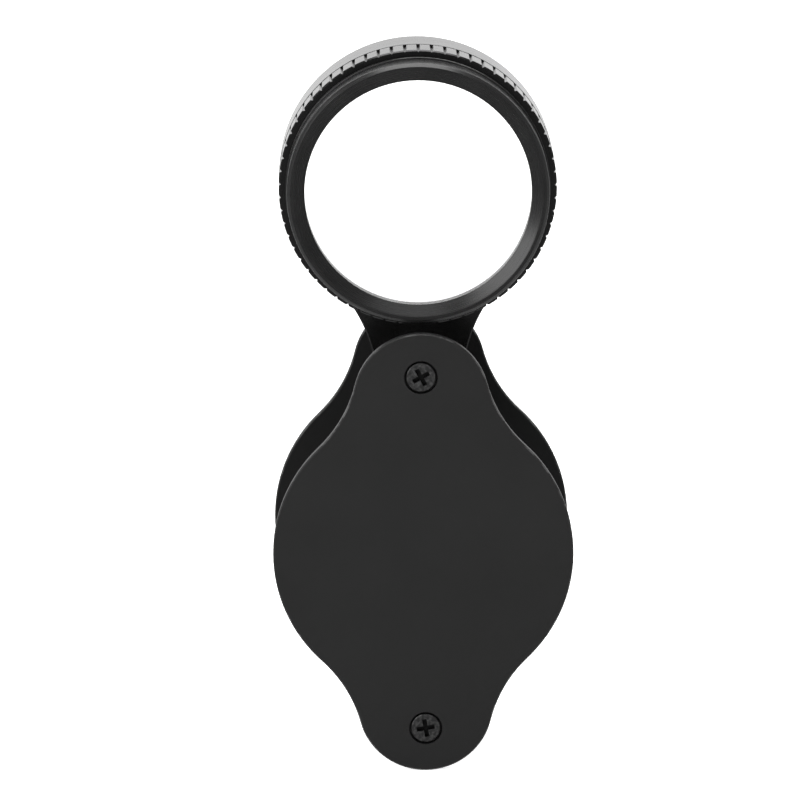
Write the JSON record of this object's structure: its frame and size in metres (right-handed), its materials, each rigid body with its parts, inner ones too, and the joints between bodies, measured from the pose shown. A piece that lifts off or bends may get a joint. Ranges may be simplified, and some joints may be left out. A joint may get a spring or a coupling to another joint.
{
  "type": "folding hand lens",
  "caption": "Pocket magnifier: a knurled round lens on a short arm that swings out from between two lobed black cover plates held by cross-head screws.",
  "frame": {"origin": "centre of the case: midway between the two covers and midway between the two pillars", "axes": "+Z from the case to the open lens, +X to the right seen from the front, the front cover faces -Y and the optical axis is parallel to Y"},
  "size_m": [0.028, 0.0162, 0.0675],
  "materials": {
    "cover_paint": "matte black paint with a fine grain",
    "black_anodised": "black anodised, satin, turned",
    "barrel_anodised": "black anodised, satin, turned",
    "black_pillar": "black oxide, satin",
    "screw_steel": "black oxide steel, rubbed grey on the head",
    "bright_steel": "plain turned steel",
    "bush_brass": "turned brass",
    "washer_plastic": "black low-friction plastic",
    "optical_glass": "clear polished optical glass"
  },
  "bodies": {
    "case": {"front_cover": "cover_paint", "rear_cover": "cover_paint", "pivot_post": "bright_steel", "spacer_post": "black_pillar", "front_pivot_screw": "screw_steel", "rear_pivot_screw": "screw_steel", "front_spacer_screw": "screw_steel", "rear_spacer_screw": "screw_steel", "front_friction_washer": "washer_plastic", "front_spacer_collar": "black_pillar", "front_thrust_washer": "washer_plastic", "rear_thrust_washer": "washer_plastic", "spring_washer": "bright_steel", "rear_spacer_collar": "black_pillar"},
    "lens_unit": {"lens_arm": "black_anodised", "pivot_bush": "bush_brass", "lens_barrel": "barrel_anodised", "retaining_ring": "barrel_anodised", "knurled_lock_ring": "black_anodised", "front_flint_element": "optical_glass", "crown_element": "optical_glass", "rear_flint_element": "optical_glass"}
  },
  "joints": [
    {"name": "arm_pivot", "type": "hinge", "parent": "case", "child": "lens_unit", "pos_m": [0, 0, 0.0168], "axis": [0, 1, 0], "continuous": true}
  ]
}
